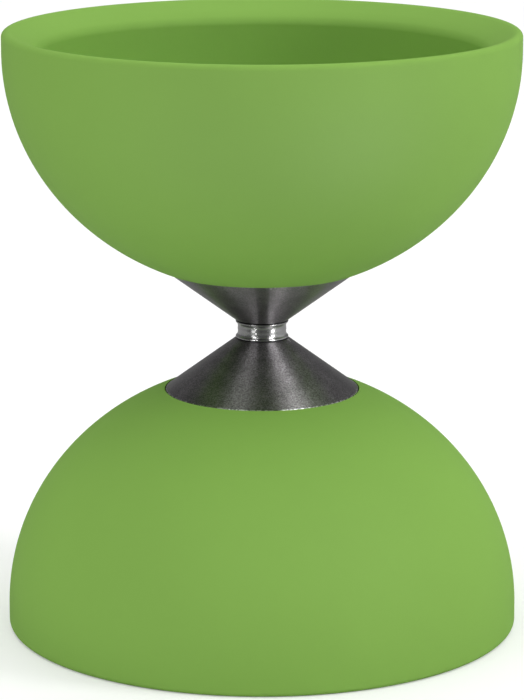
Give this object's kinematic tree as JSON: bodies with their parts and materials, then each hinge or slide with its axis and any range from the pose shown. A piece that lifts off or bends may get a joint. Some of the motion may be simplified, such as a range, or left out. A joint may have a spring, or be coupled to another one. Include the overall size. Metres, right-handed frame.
{
  "type": "diabolo",
  "caption": "Bearing diabolo: soft green rubber cups clamped back to back on dark metal cones, with a steel string sleeve that spins freely between them.",
  "frame": {"origin": "centre of the lower rim's plane, on the axle's line, where the diabolo stands", "axes": "+Z along the axle from the lower cup to the upper cup; +X and +Y across, alike by symmetry"},
  "size_m": [0.115, 0.115, 0.135],
  "materials": {
    "cup_rubber": "satin",
    "cone_metal": "satin",
    "sleeve_steel": "gloss",
    "bearing_steel": "satin",
    "ball_steel": "polished",
    "cage_brass": "satin",
    "axle_steel": "satin",
    "disc_steel": "satin",
    "nut_steel": "satin"
  },
  "bodies": {
    "hub": {"upper_cup": "cup_rubber", "upper_cone": "cone_metal", "upper_clamp_disc": "disc_steel", "upper_washer": "nut_steel", "upper_lock_nut": "nut_steel", "upper_shim": "bearing_steel", "upper_bearing_inner_ring": "bearing_steel", "lower_cup": "cup_rubber", "lower_cone": "cone_metal", "lower_clamp_disc": "disc_steel", "lower_washer": "nut_steel", "lower_lock_nut": "nut_steel", "lower_shim": "bearing_steel", "lower_bearing_inner_ring": "bearing_steel", "axle": "axle_steel", "bearing_spacer": "bearing_steel"},
    "sleeve": {"upper_bearing_outer_ring": "bearing_steel", "upper_bearing_far_shield": "bearing_steel", "upper_bearing_near_shield": "bearing_steel", "lower_bearing_outer_ring": "bearing_steel", "lower_bearing_far_shield": "bearing_steel", "lower_bearing_near_shield": "bearing_steel", "string_sleeve": "sleeve_steel"},
    "upper_cage": {"upper_bearing_cage": "cage_brass", "upper_bearing_ball_1": "ball_steel", "upper_bearing_ball_2": "ball_steel", "upper_bearing_ball_3": "ball_steel", "upper_bearing_ball_4": "ball_steel", "upper_bearing_ball_5": "ball_steel", "upper_bearing_ball_6": "ball_steel", "upper_bearing_ball_7": "ball_steel"},
    "lower_cage": {"lower_bearing_cage": "cage_brass", "lower_bearing_ball_1": "ball_steel", "lower_bearing_ball_2": "ball_steel", "lower_bearing_ball_3": "ball_steel", "lower_bearing_ball_4": "ball_steel", "lower_bearing_ball_5": "ball_steel", "lower_bearing_ball_6": "ball_steel", "lower_bearing_ball_7": "ball_steel"}
  },
  "joints": [
    {"name": "sleeve_spin", "type": "hinge", "parent": "hub", "child": "sleeve", "pos_m": [0, 0, 0.0675], "axis": [0, 0, 1], "continuous": true},
    {"name": "upper_cage_orbit", "type": "hinge", "parent": "hub", "child": "upper_cage", "pos_m": [0, 0, 0.0701], "axis": [0, 0, 1], "continuous": true},
    {"name": "lower_cage_orbit", "type": "hinge", "parent": "hub", "child": "lower_cage", "pos_m": [0, 0, 0.0649], "axis": [0, 0, 1], "continuous": true}
  ],
  "couplings": [
    {"joint": "upper_cage_orbit", "follows": "sleeve_spin", "ratio": 0.5857},
    {"joint": "lower_cage_orbit", "follows": "sleeve_spin", "ratio": 0.5857}
  ]
}
